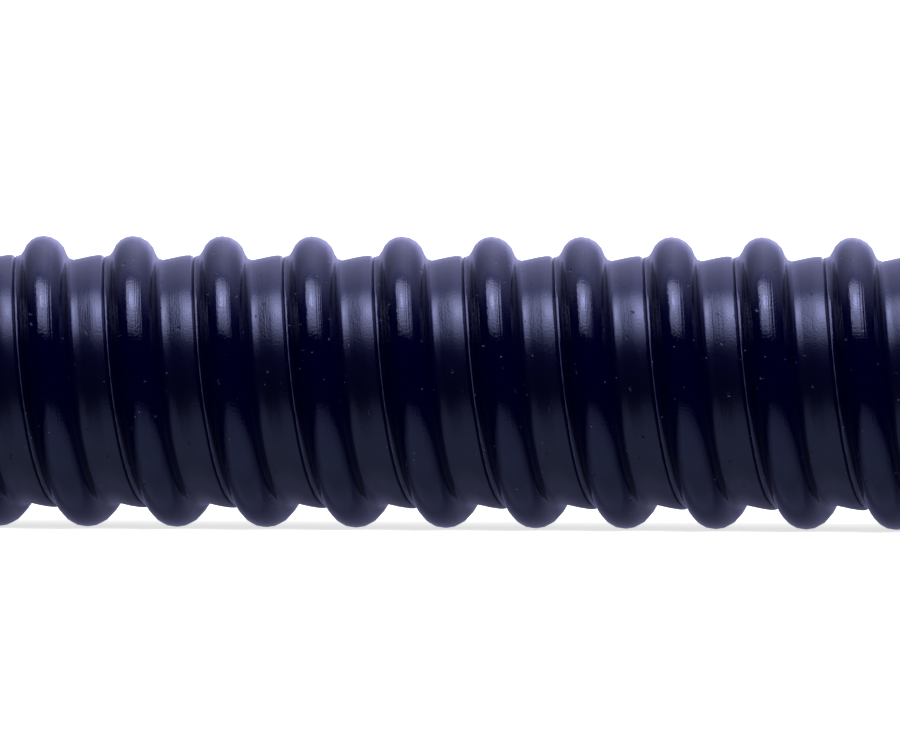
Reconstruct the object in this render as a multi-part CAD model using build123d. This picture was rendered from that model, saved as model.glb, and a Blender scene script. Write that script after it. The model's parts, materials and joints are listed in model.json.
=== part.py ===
import math
import os

from build123d import *

# Corrugated conduit: one length of smooth-bored tube with a half-round rib wound round it.
# Millimetres. X runs along the tube, the origin is on the bore's axis at mid-length, +Z is up.

# The whole piece
length = 1000.0
bore_diameter = 25.0
pitch = 9.92  # along the tube, from one rib to the next

# Wall, as heights above the bore
valley_wall = 0.91  # the hollow at the rib's right foot
foot_wall = 1.24  # the narrow ledge at the rib's left foot
lip_wall = 1.39  # the raised edge that laps the next turn's ledge

# Rib, a little fuller on its right side
rib_height = 2.59  # from the valley to the crest
rib_left_radius = 2.29
rib_right_radius = 2.64
foot_fillet = 0.88
valley_fillet = 0.60

# Widths along the tube; the slope from the valley up to the lip takes what is left of the pitch
ledge_width = 0.28
valley_width = 0.23
lip_width = 0.66
lip_round = 0.10
slope_ease = 0.2  # how much of the slope its rounding takes at each end

# Worked out from the sizes above
bore_radius = bore_diameter / 2
valley_radius = bore_radius + valley_wall
foot_radius = bore_radius + foot_wall
lip_radius = bore_radius + lip_wall
crest_radius = valley_radius + rib_height
core_radius = bore_radius / 2  # a helper, inside the bore, that the bore takes away


def fillet_meets(rib_radius, floor_radius, fillet):
    """A fillet between the rib and a floor: its centre's distance from the crest, and where it meets the rib."""
    rib_centre = crest_radius - rib_radius
    rise = floor_radius + fillet - rib_centre
    reach = math.sqrt((rib_radius + fillet) ** 2 - rise**2)
    share = rib_radius / (rib_radius + fillet)
    return reach, reach * share, rib_centre + rise * share


def wall_section():
    """One pitch of the wall, cut through the axis: x along the tube, y out from the axis."""
    foot_reach, left_reach, left_height = fillet_meets(rib_left_radius, foot_radius, foot_fillet)
    valley_reach, right_reach, right_height = fillet_meets(rib_right_radius, valley_radius, valley_fillet)
    crest_x = ledge_width + foot_reach

    seam = (0, foot_radius)
    ledge_end = (ledge_width, foot_radius)
    rib_left = (crest_x - left_reach, left_height)
    crest = (crest_x, crest_radius)
    rib_right = (crest_x + right_reach, right_height)
    valley_start = (crest_x + valley_reach, valley_radius)
    valley_end = (crest_x + valley_reach + valley_width, valley_radius)
    lip_start = (pitch - lip_width, lip_radius)
    lip_end = (pitch - lip_round, lip_radius)
    lip_corner = (pitch, lip_radius - lip_round)
    next_seam = (pitch, foot_radius)
    core_end = (pitch, core_radius)
    core_start = (0, core_radius)

    ease = slope_ease * (lip_start[0] - valley_end[0])
    slope_leaves = (valley_end[0] + ease, valley_radius)
    slope_arrives = (lip_start[0] - ease, lip_radius)
    along = (1, 0)
    back = (-1, 0)
    outline = [
        Line(seam, ledge_end),
        TangentArc(ledge_end, rib_left, tangent=along),
        TangentArc(crest, rib_left, tangent=back),
        TangentArc(crest, rib_right, tangent=along),
        TangentArc(valley_start, rib_right, tangent=back),
        Line(valley_start, valley_end),
        Bezier(valley_end, slope_leaves, slope_arrives, lip_start),
        Line(lip_start, lip_end),
        TangentArc(lip_end, lip_corner, tangent=along),
        Line(lip_corner, next_seam),
        Line(next_seam, core_end),
        Line(core_end, core_start),
        Line(core_start, seam),
    ]
    return Plane.XZ * Face(Wire(outline))


def wound_turn():
    """The section wound once round the axis as a right-hand screw, centred on the origin."""
    helix = Edge.make_helix(pitch, pitch, valley_radius, normal=(1, 0, 0))
    turn = Solid.sweep(wall_section(), helix, is_frenet=True)
    return turn.moved(Location((-turn.bounding_box().center().X, 0, 0)))


def corner_radii(face):
    return [math.hypot(corner.Y, corner.Z) for corner in face.vertices()]


def wound_stock():
    """Turns joined edge to edge into one closed body, longer than the finished piece."""
    turn = wound_turn()
    on_core = core_radius * 1.001
    ends = turn.faces().filter_by(GeomType.PLANE).sort_by(Axis.X)
    curved = turn.faces().filter_by(GeomType.PLANE, reverse=True)
    sides = curved.filter_by(lambda face: min(corner_radii(face)) < on_core < max(corner_radii(face)))
    sides = sides.sort_by(Axis.X)
    skin = [face for face in curved if face not in sides]

    turns = math.ceil(length / pitch) + 2
    first = -pitch * (turns - 1) / 2
    to_first = Location((first, 0, 0))
    to_last = Location((-first, 0, 0))
    faces = [ends[0].moved(to_first), sides[0].moved(to_first)]
    faces += [ends[-1].moved(to_last), sides[-1].moved(to_last)]
    for number in range(turns):
        place = Location((first + number * pitch, 0, 0))
        faces += [face.moved(place) for face in skin]
    return Solid(Shell(faces))


def cut_length():
    """The tube that the stock is cut to: square ends, the bore, and room round the ribs."""
    outside = Solid.make_cylinder(crest_radius + pitch, length, Plane.YZ.offset(-length / 2))
    bore = Solid.make_cylinder(bore_radius, length, Plane.YZ.offset(-length / 2))
    return outside - bore


conduit = wound_stock() & cut_length()
conduit.label = "conduit"

os.makedirs("parts", exist_ok=True)
export_step(conduit, "parts/conduit.step")
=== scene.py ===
import json
import math

import bmesh
import bpy
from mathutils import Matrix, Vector


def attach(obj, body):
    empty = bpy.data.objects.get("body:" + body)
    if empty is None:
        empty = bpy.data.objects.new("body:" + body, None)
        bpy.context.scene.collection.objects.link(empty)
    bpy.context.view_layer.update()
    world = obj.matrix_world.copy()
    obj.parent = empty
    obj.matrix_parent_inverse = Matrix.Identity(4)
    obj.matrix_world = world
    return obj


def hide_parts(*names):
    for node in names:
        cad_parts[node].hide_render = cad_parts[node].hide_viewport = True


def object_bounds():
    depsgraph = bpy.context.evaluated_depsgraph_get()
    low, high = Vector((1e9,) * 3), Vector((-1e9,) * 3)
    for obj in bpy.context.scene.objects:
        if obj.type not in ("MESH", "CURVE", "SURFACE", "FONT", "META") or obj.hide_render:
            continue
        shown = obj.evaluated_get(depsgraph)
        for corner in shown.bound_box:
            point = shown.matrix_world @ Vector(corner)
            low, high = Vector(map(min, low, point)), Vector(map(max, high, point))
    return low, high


# A length of smooth-bored PVC conduit with a half-round rib wound round it, on a pale floor.
# Shape values are in millimetres, Blender is in metres, and X runs along the conduit.

mm = 0.001

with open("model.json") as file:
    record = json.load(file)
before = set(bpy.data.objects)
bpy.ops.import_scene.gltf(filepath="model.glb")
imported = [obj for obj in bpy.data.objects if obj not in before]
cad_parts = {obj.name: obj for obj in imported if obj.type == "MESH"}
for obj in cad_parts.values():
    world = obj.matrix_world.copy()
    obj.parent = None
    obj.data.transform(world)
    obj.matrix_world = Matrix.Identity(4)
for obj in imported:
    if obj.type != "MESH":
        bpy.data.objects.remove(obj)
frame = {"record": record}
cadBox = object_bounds()
mounts = {mount["name"]: mount for mount in frame["record"]["mounts"]}
boreRadius = mounts["bore"]["dims"]["r_mm"]
crestRadius = cadBox[1].z / mm
halfLength = cadBox[1].x / mm
floorHeight = cadBox[0].z
print("frame loaded: bore radius", boreRadius, "crest radius", round(crestRadius, 3))


def linear(hexCode):
    # an sRGB hex colour as the linear values that shaders want
    values = [int(hexCode[i:i + 2], 16) / 255 for i in (1, 3, 5)]
    return [v / 12.92 if v <= 0.04045 else ((v + 0.055) / 1.055) ** 2.4 for v in values] + [1.0]


def addNode(tree, kind, settings=None, links=None):
    # settings go to the node's own properties or its sockets, links join other nodes to its sockets
    made = tree.nodes.new("ShaderNode" + kind)
    for name, value in (settings or {}).items():
        if isinstance(name, int) or name in made.inputs:
            made.inputs[name].default_value = value
        else:
            setattr(made, name, value)
    for name, source in (links or {}).items():
        tree.links.new(source, made.inputs[name])
    return made


def fadeBetween(tree, value, edges):
    # fades in over the first two values and out over the last two
    rise = addNode(tree, "MapRange", {1: edges[0], 2: edges[1]}, {0: value}).outputs[0]
    fall = addNode(tree, "MapRange", {1: edges[3], 2: edges[2]}, {0: value}).outputs[0]
    return addNode(tree, "Math", {"operation": "MULTIPLY"}, {0: rise, 1: fall}).outputs[0]


def newMaterial(name):
    made = bpy.data.materials.new(name)
    made.use_nodes = True
    made.node_tree.nodes.clear()
    return made, made.node_tree


def addObject(name, data):
    made = bpy.data.objects.new(name, data)
    bpy.context.scene.collection.objects.link(made)
    return made


# The conduit's wall: one outline over a pitch, wound round the axis

wall = {
    "pitch": 9.92,
    "valleyWall": 0.87,  # heights above the bore
    "footWall": 1.24,
    "lipWall": 1.39,
    "ribLeftRadius": 2.29,
    "ribRightRadius": 2.64,
    "footFillet": 0.88,
    "valleyFillet": 0.80,
    "seam": 0.16,  # the seam's place along the conduit
    "foot": 0.28,  # where the rib's left fillet starts
    "lip": 0.82,  # the lip's width along the conduit
    "lipRound": 0.40,
    "grooveDepth": 0.11,  # the seam's depth below the foot
    "slopeEases": (0.04, 0.15),  # how slowly the slope leaves the valley and reaches the lip
    "steps": {"foot": 2, "ribLeft": 4, "ribRight": 4, "valleyFoot": 2, "slope": 3, "edge": 2},
    "around": 50,  # facets round the outside
    "boreAround": 80,
    "boreRings": 10,
    "meanRadius": 14.5,  # where lengths along the winding are measured
    "cutSlack": 0.0001,  # how far from a cut's plane its rim may lie
}


def lineStrip(start, stop):
    # the two ends with their normals
    run, climb = stop[0] - start[0], stop[1] - start[1]
    size = math.hypot(run, climb)
    normal = (-climb / size, run / size)
    return [(start, normal), (stop, normal)]


def arcStrip(centre, radius, start, stop, steps, side=1):
    # points and normals along an arc, angles in degrees; side is -1 for a hollow one
    points = []
    for step in range(steps + 1):
        turn = math.radians(start + (stop - start) * step / steps)
        along, out = math.cos(turn), math.sin(turn)
        point = (centre[0] + radius * along, centre[1] + radius * out)
        points.append((point, (side * along, side * out)))
    return points


def slopeStrip(start, stop, steps):
    # a Bezier climb that leaves and arrives level
    run, climb = stop[0] - start[0], stop[1] - start[1]
    leave, arrive = wall["slopeEases"]
    points = []
    for step in range(steps + 1):
        t = step / steps
        left = 1 - t
        along = 3 * leave * t * left ** 2 + 3 * (1 - arrive) * t * t * left + t ** 3
        rate = 3 * leave * left ** 2 + 6 * (1 - leave - arrive) * t * left + 3 * arrive * t * t
        height, slope = climb * t * t * (3 - 2 * t), climb * 6 * t * left / (run * rate)
        size = math.hypot(1, slope)
        point = (start[0] + run * along, start[1] + height)
        points.append((point, (-slope / size, 1 / size)))
    return points


def ribFillet(radius, floor, fillet):
    # how far along the conduit the fillet's centre is from the crest, and the angle up to it
    climb = floor + fillet - (crestRadius - radius)
    reach = math.sqrt((radius + fillet) ** 2 - climb ** 2)
    return reach, math.degrees(math.atan2(climb, reach))


def wallOutline():
    # one pitch of the outside, from a seam to the next, as named strips of points and normals
    valley = boreRadius + wall["valleyWall"]
    foot = boreRadius + wall["footWall"]
    lip = boreRadius + wall["lipWall"]
    left, right = wall["ribLeftRadius"], wall["ribRightRadius"]
    footFillet, valleyFillet, edge = wall["footFillet"], wall["valleyFillet"], wall["lipRound"]
    steps = wall["steps"]
    footReach, footAngle = ribFillet(left, foot, footFillet)
    valleyReach, valleyAngle = ribFillet(right, valley, valleyFillet)
    crest = wall["foot"] + footReach
    seam = (wall["seam"], foot - wall["grooveDepth"])
    nextSeam = seam[0] + wall["pitch"]
    valleyStart = (crest + valleyReach, valley)
    lipStart = (nextSeam - wall["lip"], lip)
    edgeAngle = math.degrees(math.acos(1 - (lip - seam[1]) / edge))
    edgeCentre = (nextSeam - edge * math.sin(math.radians(edgeAngle)), lip - edge)
    footCentre = (wall["foot"], foot + footFillet)
    valleyCentre = (valleyStart[0], valley + valleyFillet)
    leftCentre, rightCentre = (crest, crestRadius - left), (crest, crestRadius - right)
    return {
        "groove": lineStrip(seam, (wall["foot"], foot)),
        "foot": arcStrip(footCentre, footFillet, -90, -footAngle, steps["foot"], -1),
        "ribLeft": arcStrip(leftCentre, left, 180 - footAngle, 90, steps["ribLeft"]),
        "ribRight": arcStrip(rightCentre, right, 90, valleyAngle, steps["ribRight"]),
        "valleyFoot": arcStrip(valleyCentre, valleyFillet, 180 + valleyAngle, 270,
                               steps["valleyFoot"], -1),
        "slope": slopeStrip(valleyStart, lipStart, steps["slope"]),
        "lip": lineStrip(lipStart, (edgeCentre[0], lip)),
        "edge": arcStrip(edgeCentre, edge, 90, 90 - edgeAngle, steps["edge"]),
    }


def outlineMarks():
    # how far across the winding each strip starts, in millimetres
    marks, total = {}, 0.0
    for name, strip in wallOutline().items():
        marks[name] = total
        total += sum(math.dist(here[0], ahead[0]) for here, ahead in zip(strip, strip[1:]))
    return marks


def around(turn):
    # the way out from the axis at a share of a turn, from the top over the front
    angle = 2 * math.pi * turn
    return Vector((0, -math.sin(angle), math.cos(angle)))


def addSkin(bm):
    # winds the outline past both ends, as a right-hand screw
    # one map holds the lengths across and along the winding, another the outline's normals
    winding = bm.loops.layers.uv.new("winding")
    slant = bm.loops.layers.uv.new("slant")
    pieces = []
    for strip in wallOutline().values():
        pieces += zip(strip, strip[1:])
    steps = wall["around"]
    turns = 2 * (math.ceil(halfLength / wall["pitch"]) + 1)
    rows = []
    for row in range(turns * steps + steps + 1):
        turn = row / steps - turns / 2
        out = around(turn)
        points = []
        for (point, _), _ in pieces:
            along = (point[0] + wall["pitch"] * turn) * mm
            points.append(bm.verts.new(out * point[1] * mm + Vector((along, 0, 0))))
        rows.append(points)
    across = [0.0]
    for (start, _), (stop, _) in pieces:
        across.append(across[-1] + math.dist(start, stop) * mm)
    arc = 2 * math.pi * wall["meanRadius"] * mm
    for row in range(turns * steps):
        here, ahead = row / steps * arc, (row + 1) / steps * arc
        for i, ((_, startNormal), (_, stopNormal)) in enumerate(pieces):
            last = i + 1 == len(pieces)  # joins the next turn's first point
            near = rows[row + steps][0] if last else rows[row][i + 1]
            far = rows[row + steps + 1][0] if last else rows[row + 1][i + 1]
            face = bm.faces.new((rows[row][i], rows[row + 1][i], far, near))
            face.smooth = True
            corners = ((across[i], here, startNormal), (across[i], ahead, startNormal),
                       (across[i + 1], ahead, stopNormal), (across[i + 1], here, stopNormal))
            for loop, (u, v, normal) in zip(face.loops, corners):
                loop[winding].uv = (u, v)
                loop[slant].uv = normal


def cutSquare(bm, side):
    # cuts the winding off square at one end and returns the cut's edges
    plane = Vector((side * halfLength * mm, 0, 0))
    slack = wall["cutSlack"] * mm
    everything = bm.verts[:] + bm.edges[:] + bm.faces[:]
    bmesh.ops.bisect_plane(bm, geom=everything, dist=slack / 10, plane_co=plane, plane_no=(side, 0, 0),
                           clear_outer=True)
    rims = [edge for edge in bm.edges if len(edge.link_faces) == 1]
    return [edge for edge in rims if all(abs(v.co.x - plane.x) < slack for v in edge.verts)]


def addBore(bm):
    # the bore's rings from end to end; returns the edges of its two mouths
    count, rings = wall["boreAround"], wall["boreRings"]
    rows = []
    for ring in range(rings + 1):
        middle = Vector((halfLength * (2 * ring / rings - 1) * mm, 0, 0))
        rows.append([bm.verts.new(around(i / count) * boreRadius * mm + middle) for i in range(count)])
    for ring in range(rings):
        for i in range(count):
            j = (i + 1) % count
            face = bm.faces.new((rows[ring][i], rows[ring + 1][i], rows[ring + 1][j], rows[ring][j]))
            face.smooth = True
    mouths = []
    for row in (rows[0], rows[-1]):
        mouths.append([bm.edges.get((row[i], row[(i + 1) % count])) for i in range(count)])
    return mouths


def setNormals(mesh):
    # the wound skin gets its true normals; the bore and the cut ends have plain ones
    slant = mesh.uv_layers["slant"].data
    normals = []
    for polygon in mesh.polygons:
        for index in polygon.loop_indices:
            along, out = slant[index].uv
            place = mesh.vertices[mesh.loops[index].vertex_index].co
            radius = math.hypot(place.y, place.z)
            away = Vector((0, place.y, place.z)) / radius
            if along or out:
                onward = Vector((0, -away.z, away.y))
                lead = -along * wall["pitch"] * mm / (2 * math.pi * radius)
                normal = Vector((along, 0, 0)) + away * out + onward * lead
            elif polygon.use_smooth:
                normal = -away
            else:
                normal = polygon.normal
            normals.append(normal.normalized())
    mesh.uv_layers.remove(mesh.uv_layers["slant"])
    mesh.normals_split_custom_set(normals)


def wallMesh():
    bm = bmesh.new()
    addSkin(bm)
    cuts = [cutSquare(bm, -1), cutSquare(bm, 1)]
    loose = [v for v in bm.verts if not v.link_faces]
    bmesh.ops.delete(bm, geom=loose, context="VERTS")
    mouths = addBore(bm)
    for side, cut, mouth in zip((-1, 1), cuts, mouths):
        bmesh.ops.triangle_fill(bm, use_beauty=True, use_dissolve=False, edges=cut + mouth,
                                normal=(side, 0, 0))
    bm.normal_update()
    mesh = bpy.data.meshes.new("conduit")
    bm.to_mesh(mesh)
    bm.free()
    setNormals(mesh)
    return mesh


conduit = addObject("conduit_wall", wallMesh())
print("wall wound:", sum(len(p.vertices) - 2 for p in conduit.data.polygons), "triangles")


# Plasticised PVC, extruded and wound while hot: near-black blue with a wet gloss on the rib, duller
# on the pressed land between, fine die lines along the winding, a rough bead beside the seam whose
# paler colour is a painted highlight, and a few pits and dust specks

pvc = {
    "colour": "#000019",
    "gloss": "#BCC3FF",
    "ior": 1.5,
    "ribRoughness": 0.08,
    "landRoughness": 0.26,
    # the bead's paler colour is a painted highlight, a glint along the seam's ledge
    "beadColour": "#2E2C46",
    "beadRoughness": 0.45,
    "cutColour": "#0B0C26",
    "cutRoughness": 0.5,
    "boreRoughness": 0.28,
    "dust": "#4C4A70",
    # where each finish fades in and out across the winding: millimetres from where a strip starts
    "landEdges": (("valleyFoot", -0.1), ("slope", 0.0), ("edge", 0.05), ("edge", 0.15)),
    # where the bead's roughness and its painted highlight lie
    "beadEdges": (("foot", -0.05), ("foot", -0.01), ("foot", 0.06), ("foot", 0.12)),
    "scarEdges": (("ribRight", 0.0), ("ribRight", 0.4), ("ribRight", 1.1), ("ribRight", 1.4)),
    "cutFade": (0.02, 0.01),  # in from the ends
    "boreFade": (0.2, 0.1),  # out from the bore
    # patterns: sizes across and along the winding, spacings, radii and heights in millimetres
    "dieLine": {"size": (0.16, 90.0), "detail": 2.0, "height": 0.045},  # the finest that still show
    "dieLineElsewhere": 0.18,  # the lines' height outside the scar, as a share
    "wave": {"size": (1.8, 4.5), "detail": 1.0, "height": 0.03},
    "peel": {"size": (0.28, 0.28), "detail": 1.0, "height": 0.012},
    "pit": {"spacing": 3.6, "radius": 0.22, "depth": 0.06, "ragSize": 0.25, "rag": 0.3},
    "speck": {"spacing": 4.2, "radius": 0.09, "shift": (37, 11, 0)},  # shifted off the pits' pattern
    "spotRim": (1.2, 0.5),  # where a pit or speck starts and is full, as shares of its radius
    # ragged patches of the bead's painted highlight
    "beadPatch": {"size": (0.3, 1.2), "detail": 3.0, "from": (-0.15, 0.1), "to": (0.25, 1.0)},
    "knifeLine": {"size": (0.25, 6.25), "detail": 3.0, "height": 0.006},  # coarser than real, to show
}


def band(tree, across, marks, edges):
    # a finish's strip across the winding
    return fadeBetween(tree, across, [marks[strip] + past for strip, past in edges])


def windingNoise(tree, place, size, detail):
    # a noise that runs from about -0.5 to 0.5, stretched to size across and along the winding
    scale = (1 / size[0], 1 / size[1], 1.0)
    spread = addNode(tree, "VectorMath", {"operation": "MULTIPLY", 1: scale}, {0: place}).outputs[0]
    settings = {"noise_dimensions": "2D", "Scale": 1.0, "Detail": detail}
    noise = addNode(tree, "TexNoise", settings, {"Vector": spread}).outputs[0]
    return addNode(tree, "Math", {"operation": "SUBTRACT", 1: 0.5}, {0: noise}).outputs[0]


def dots(tree, place, spacing, radius):
    # round spots of random size on the winding, 1 in the middle and 0 at the rim
    scale = {"operation": "SCALE", "Scale": 1 / spacing}
    spread = addNode(tree, "VectorMath", scale, {0: place}).outputs[0]
    cells = addNode(tree, "TexVoronoi", {"voronoi_dimensions": "2D", "Scale": 1.0}, {"Vector": spread})
    chance = addNode(tree, "SeparateColor", links={0: cells.outputs["Color"]}).outputs[0]
    size = addNode(tree, "Math", {"operation": "MULTIPLY", 1: radius / spacing}, {0: chance}).outputs[0]
    distance = cells.outputs["Distance"]
    ratio = addNode(tree, "Math", {"operation": "DIVIDE"}, {0: distance, 1: size}).outputs[0]
    rim, full = pvc["spotRim"]
    fade = {"interpolation_type": "SMOOTHSTEP", 1: rim, 2: full}
    return addNode(tree, "MapRange", fade, {0: ratio}).outputs[0]


def pvcWall():
    material, tree = newMaterial("extruded_pvc")
    marks = outlineMarks()
    toMillimetres = {"operation": "SCALE", "Scale": 1 / mm}
    winding = addNode(tree, "UVMap", {"uv_map": "winding"}).outputs[0]
    winding = addNode(tree, "VectorMath", toMillimetres, {0: winding}).outputs[0]
    across = addNode(tree, "SeparateXYZ", links={0: winding}).outputs[0]
    place = addNode(tree, "TexCoord").outputs["Object"]
    place = addNode(tree, "VectorMath", toMillimetres, {0: place}).outputs[0]
    upright = {"operation": "MULTIPLY", 1: (0, 1, 1)}
    spoke = addNode(tree, "VectorMath", upright, {0: place}).outputs[0]
    radius = addNode(tree, "VectorMath", {"operation": "LENGTH"}, {0: spoke}).outputs["Value"]
    along = addNode(tree, "SeparateXYZ", links={0: place}).outputs[0]
    reach = addNode(tree, "Math", {"operation": "ABSOLUTE"}, {0: along}).outputs[0]

    # where each finish lies
    fades = [halfLength - v for v in pvc["cutFade"]]
    cut = addNode(tree, "MapRange", {1: fades[0], 2: fades[1]}, {0: reach}).outputs[0]
    fades = [boreRadius + v for v in pvc["boreFade"]]
    bore = addNode(tree, "MapRange", {1: fades[0], 2: fades[1]}, {0: radius}).outputs[0]
    inside = addNode(tree, "Math", {"operation": "MAXIMUM"}, {0: cut, 1: bore}).outputs[0]
    skin = addNode(tree, "Math", {"operation": "SUBTRACT", 0: 1.0}, {1: inside}).outputs[0]
    land = band(tree, across, marks, pvc["landEdges"])
    bead = band(tree, across, marks, pvc["beadEdges"])
    dieScar = band(tree, across, marks, pvc["scarEdges"])

    # relief: die lines, deepest in the scar, then waves, orange peel, ragged pits and the knife's lines
    lines = windingNoise(tree, winding, pvc["dieLine"]["size"], pvc["dieLine"]["detail"])
    scar = addNode(tree, "MapRange", {3: pvc["dieLineElsewhere"], 4: 1.0}, {0: dieScar}).outputs[0]
    lines = addNode(tree, "Math", {"operation": "MULTIPLY"}, {0: lines, 1: scar}).outputs[0]
    lineHeight = {"operation": "MULTIPLY", 1: pvc["dieLine"]["height"]}
    relief = addNode(tree, "Math", lineHeight, {0: lines}).outputs[0]
    for pattern in (pvc["wave"], pvc["peel"]):
        bumps = windingNoise(tree, winding, pattern["size"], pattern["detail"])
        height = {"operation": "MULTIPLY_ADD", 1: pattern["height"]}
        relief = addNode(tree, "Math", height, {0: bumps, 2: relief}).outputs[0]
    pit = pvc["pit"]
    rag = {"noise_dimensions": "2D", "Scale": 1 / pit["ragSize"], "Detail": 1.0}
    stray = addNode(tree, "TexNoise", rag, {"Vector": winding}).outputs["Color"]
    scale = {"operation": "SCALE", "Scale": pit["rag"]}
    stray = addNode(tree, "VectorMath", scale, {0: stray}).outputs[0]
    stray = addNode(tree, "VectorMath", {"operation": "ADD"}, {0: winding, 1: stray}).outputs[0]
    pits = dots(tree, stray, pit["spacing"], pit["radius"])
    depth = {"operation": "MULTIPLY_ADD", 1: -pit["depth"]}
    relief = addNode(tree, "Math", depth, {0: pits, 2: relief}).outputs[0]
    relief = addNode(tree, "Math", {"operation": "MULTIPLY"}, {0: relief, 1: skin}).outputs[0]
    knife = pvc["knifeLine"]
    scale = (0, 1 / knife["size"][0], 1 / knife["size"][1])
    sliced = addNode(tree, "VectorMath", {"operation": "MULTIPLY", 1: scale}, {0: place}).outputs[0]
    slices = {"Scale": 1.0, "Detail": knife["detail"]}
    sliced = addNode(tree, "TexNoise", slices, {"Vector": sliced}).outputs[0]
    sliced = addNode(tree, "Math", {"operation": "MULTIPLY"}, {0: sliced, 1: cut}).outputs[0]
    height = {"operation": "MULTIPLY_ADD", 1: knife["height"]}
    relief = addNode(tree, "Math", height, {0: sliced, 2: relief}).outputs[0]
    bump = addNode(tree, "Bump", {"Strength": 1.0, "Distance": mm}, {"Height": relief}).outputs[0]

    # gloss: wet on the rib, duller where pressed or cut
    levels = {3: pvc["ribRoughness"], 4: pvc["landRoughness"]}
    dull = addNode(tree, "MapRange", levels, {0: land}).outputs[0]
    levels = ((bead, pvc["beadRoughness"]), (bore, pvc["boreRoughness"]), (cut, pvc["cutRoughness"]))
    for share, level in levels:
        dull = addNode(tree, "Mix", {"data_type": "FLOAT", 3: level}, {0: share, 2: dull}).outputs[0]

    # colour: the bead's painted highlight comes and goes along the seam, and dust lies on the outside
    # only
    patch = pvc["beadPatch"]
    ragged = windingNoise(tree, winding, patch["size"], patch["detail"])
    (low, high), (least, most) = patch["from"], patch["to"]
    ragged = addNode(tree, "MapRange", {1: low, 2: high, 3: least, 4: most}, {0: ragged}).outputs[0]
    ragged = addNode(tree, "Math", {"operation": "MULTIPLY"}, {0: ragged, 1: bead}).outputs[0]
    ragged = addNode(tree, "Math", {"operation": "MULTIPLY"}, {0: ragged, 1: skin}).outputs[0]
    speck = pvc["speck"]
    shift = {"operation": "ADD", 1: speck["shift"]}
    shifted = addNode(tree, "VectorMath", shift, {0: winding}).outputs[0]
    specks = dots(tree, shifted, speck["spacing"], speck["radius"])
    specks = addNode(tree, "Math", {"operation": "MULTIPLY"}, {0: specks, 1: skin}).outputs[0]
    tone = addNode(tree, "RGB").outputs[0]
    tone.default_value = linear(pvc["colour"])
    # mixes in the bead's painted highlight, the dust and the cut ends' colour
    for share, code in ((ragged, pvc["beadColour"]), (specks, pvc["dust"]), (cut, pvc["cutColour"])):
        mixed = {"data_type": "RGBA", 7: linear(code)}
        tone = addNode(tree, "Mix", mixed, {0: share, 6: tone}).outputs[2]

    shader = addNode(tree, "BsdfPrincipled", {
        "IOR": pvc["ior"],
        "Specular Tint": linear(pvc["gloss"]),
    }, {"Base Color": tone, "Roughness": dull, "Normal": bump})
    addNode(tree, "OutputMaterial", links={"Surface": shader.outputs[0]})
    return material


conduit.data.materials.append(pvcWall())
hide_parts("conduit")
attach(conduit, "root")
print("PVC on the wall")


# Floor, tent and light, in metres

studio = {
    "floorSize": 60.0,
    "floorColour": "#E6E6E6",
    "white": "#FFFFFF",
    "floorLift": (0.72, 0.95),  # glow that the eye sees on the floor, near the conduit and far off
    "liftReach": (0.2, 1.5),  # how far out the two are reached
    "ambient": 0.45,
    "tentRadius": 1.4,
    # patches of the tent: colour and level, then where each fades in and out, in degrees up from the
    # front and to the right
    "tent": {
        "softbox": ("#FFFFFF", 6.4, (39, 58, 82, 93), (-30, -24, 14, 24)),
        "hotMiddle": ("#FFFFFF", 9.0, (60, 67, 71, 79), (-15, -9, -1, 8)),
        "top": ("#FFFFFF", 0.9, (80, 104, 110, 150), (-62, 0, 5, 56)),
        "back": ("#C6C6FF", 1.5, (50, 105, 168, 190), (-62, 0, 5, 56)),
        "under": ("#C4C6FF", 0.38, (170, 196, 250, 275), (-56, -20, 30, 66)),
    },
    # the pale floor as gloss shows it: colour, level, then its soft edges as shares of the depth below
    "bounce": ("#EAF6FF", 0.72, (-1.45, -0.6, 0.8, 3.0), (-0.7, 0.4, 1.2, 4.2)),
    "leastDepth": 0.001,  # keeps the shares finite at and above the horizon
    "key": {"place": (0.4, -0.9, 2.0), "size": (1.6, 1.2), "power": 60.0},
}


def seenRays(tree):
    # 1 for what the eye, a mirror or glass sees
    path = addNode(tree, "LightPath").outputs
    seen = {0: path["Is Camera Ray"], 1: path["Is Glossy Ray"]}
    seen = addNode(tree, "Math", {"operation": "ADD"}, seen).outputs[0]
    seen = {0: seen, 1: path["Is Transmission Ray"]}
    return addNode(tree, "Math", {"operation": "ADD", "use_clamp": True}, seen).outputs[0]


def addWorld():
    world = bpy.data.worlds.new("studio")
    world.use_nodes = True
    tree = world.node_tree
    tree.nodes.clear()
    ambient = studio["ambient"]
    share = {"operation": "MULTIPLY_ADD", 1: 1 - ambient, 2: ambient}
    strength = addNode(tree, "Math", share, {0: seenRays(tree)}).outputs[0]
    back = addNode(tree, "Background", {"Color": linear(studio["white"])}, {"Strength": strength})
    addNode(tree, "OutputWorld", links={"Surface": back.outputs[0]})
    bpy.context.scene.world = world


def floorPaint():
    # matt off-white paint: pale and even, so that only the conduit's soft shadow shows on it
    material, tree = newMaterial("floor_paint")
    place = addNode(tree, "TexCoord").outputs["Object"]
    reach = addNode(tree, "VectorMath", {"operation": "LENGTH"}, {0: place}).outputs["Value"]
    (start, stop), (near, far) = studio["liftReach"], studio["floorLift"]
    level = addNode(tree, "MapRange", {1: start, 2: stop, 3: near, 4: far}, {0: reach}).outputs[0]
    lift = addNode(tree, "Math", {"operation": "MULTIPLY"}, {0: seenRays(tree), 1: level}).outputs[0]
    glow = addNode(tree, "Emission", {"Color": linear(studio["white"])}, {"Strength": lift}).outputs[0]
    paint = addNode(tree, "BsdfDiffuse", {"Color": linear(studio["floorColour"])}).outputs[0]
    both = addNode(tree, "AddShader", links={0: paint, 1: glow}).outputs[0]
    addNode(tree, "OutputMaterial", links={"Surface": both})
    return material


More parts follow.
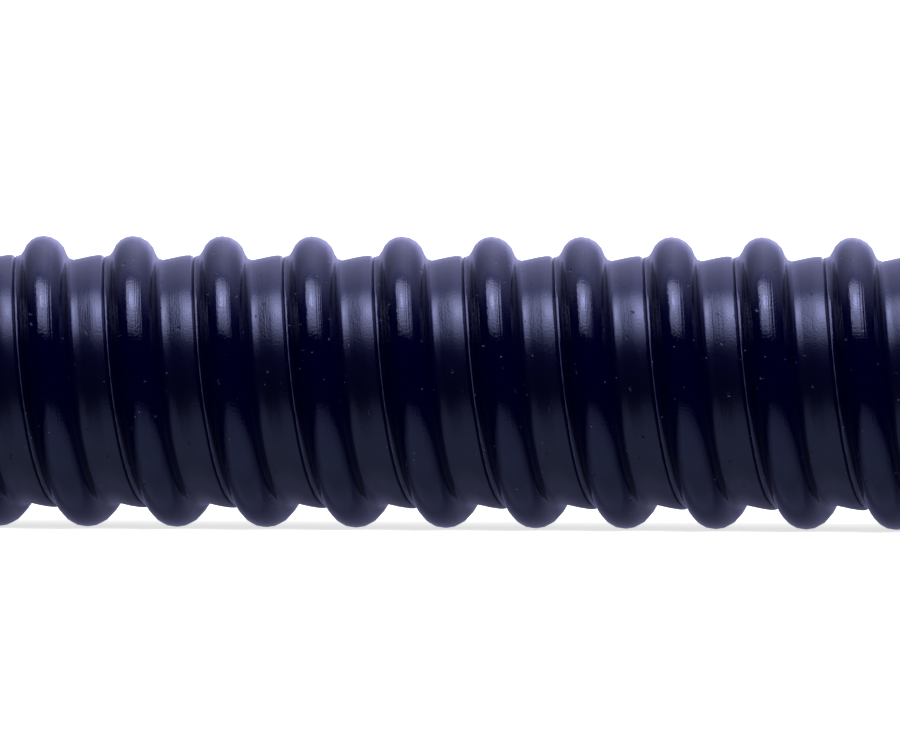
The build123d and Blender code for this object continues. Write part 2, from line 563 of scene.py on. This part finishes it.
def addFloor():
    reach = studio["floorSize"] / 2
    corners = [(-reach, -reach), (reach, -reach), (reach, reach), (-reach, reach)]
    mesh = bpy.data.meshes.new("floor")
    mesh.from_pydata([(x, y, floorHeight) for x, y in corners], [], [(0, 1, 2, 3)])
    mesh.materials.append(floorPaint())
    floor = addObject("floor", mesh)
    floor.visible_glossy = False  # the tent's lower half stands for it


def tentCloth():
    # dark cloth with soft-edged lamps in it and the pale floor below; only gloss shows it
    material, tree = newMaterial("tent_cloth")
    place = addNode(tree, "TexCoord").outputs["Object"]
    axes = addNode(tree, "SeparateXYZ", links={0: place}).outputs
    front = addNode(tree, "Math", {"operation": "MULTIPLY", 1: -1.0}, {0: axes[1]}).outputs[0]
    up = addNode(tree, "Math", {"operation": "ARCTAN2"}, {0: axes[2], 1: front}).outputs[0]
    wrap = {"operation": "WRAP", 1: 1.5 * math.pi, 2: -0.5 * math.pi}
    up = addNode(tree, "Math", wrap, {0: up}).outputs[0]
    share = {"operation": "DIVIDE", 1: studio["tentRadius"]}
    side = addNode(tree, "Math", share, {0: axes[0]}).outputs[0]
    side = addNode(tree, "Math", {"operation": "ARCSINE"}, {0: side}).outputs[0]
    depth = addNode(tree, "Math", {"operation": "MULTIPLY", 1: -1.0}, {0: axes[2]}).outputs[0]
    atLeast = {"operation": "MAXIMUM", 1: studio["leastDepth"]}
    depth = addNode(tree, "Math", atLeast, {0: depth}).outputs[0]
    across = addNode(tree, "Math", {"operation": "DIVIDE"}, {0: axes[0], 1: depth}).outputs[0]
    forward = addNode(tree, "Math", {"operation": "DIVIDE"}, {0: front, 1: depth}).outputs[0]
    colour, level, sides, ends = studio["bounce"]
    patches = [(colour, level, fadeBetween(tree, across, sides), fadeBetween(tree, forward, ends))]
    for colour, level, rise, spread in studio["tent"].values():
        rise, spread = [math.radians(v) for v in rise], [math.radians(v) for v in spread]
        patches.append((colour, level, fadeBetween(tree, up, rise), fadeBetween(tree, side, spread)))
    total = addNode(tree, "Emission", {"Strength": 0.0}).outputs[0]
    for colour, level, first, second in patches:
        share = addNode(tree, "Math", {"operation": "MULTIPLY"}, {0: first, 1: second}).outputs[0]
        share = addNode(tree, "Math", {"operation": "MULTIPLY", 1: level}, {0: share}).outputs[0]
        glow = addNode(tree, "Emission", {"Color": linear(colour)}, {"Strength": share}).outputs[0]
        total = addNode(tree, "AddShader", links={0: total, 1: glow}).outputs[0]
    addNode(tree, "OutputMaterial", links={"Surface": total})
    return material


def addTent():
    bm = bmesh.new()
    bmesh.ops.create_icosphere(bm, subdivisions=5, radius=studio["tentRadius"])
    mesh = bpy.data.meshes.new("tent")
    bm.to_mesh(mesh)
    bm.free()
    mesh.materials.append(tentCloth())
    tent = addObject("tent", mesh)
    tent.visible_camera = False
    tent.visible_diffuse = False
    tent.visible_shadow = False
    tent.visible_transmission = False


def addKey():
    # an area lamp that aims at the conduit's middle
    key = studio["key"]
    lamp = bpy.data.lights.new("key", "AREA")
    lamp.shape = "RECTANGLE"
    lamp.size, lamp.size_y = key["size"]
    lamp.energy = key["power"]
    made = addObject("key", lamp)
    made.location = key["place"]
    made.rotation_euler = (-Vector(key["place"])).to_track_quat("-Z", "Y").to_euler()
    made.visible_glossy = False


addWorld()
addFloor()
addTent()
addKey()
print("studio lit")


# Camera, in metres and degrees, at the photo's viewing angle

shot = {
    "azimuth": 6.5,
    "elevation": 1.6,
    "distance": 1.58,
    "target": (-0.00126, 0.0, 0.00135),
    "imageWidth": 900,
    "focalPixels": 14400,
    "sensor": 36.0,
    "clip": (0.01, 100.0),
}


def addCamera():
    camera = bpy.data.cameras.new("camera")
    camera.sensor_width = shot["sensor"]
    camera.lens = shot["focalPixels"] / shot["imageWidth"] * shot["sensor"]
    camera.clip_start, camera.clip_end = shot["clip"]
    made = addObject("camera", camera)
    azimuth, elevation = math.radians(shot["azimuth"]), math.radians(shot["elevation"])
    level = math.cos(elevation)
    back = Vector((math.sin(azimuth) * level, -math.cos(azimuth) * level, math.sin(elevation)))
    made.location = Vector(shot["target"]) + back * shot["distance"]
    made.rotation_euler = (-back).to_track_quat("-Z", "Y").to_euler()
    bpy.context.scene.camera = made


addCamera()
bpy.context.scene.view_settings.view_transform = "Standard"
print("camera set")
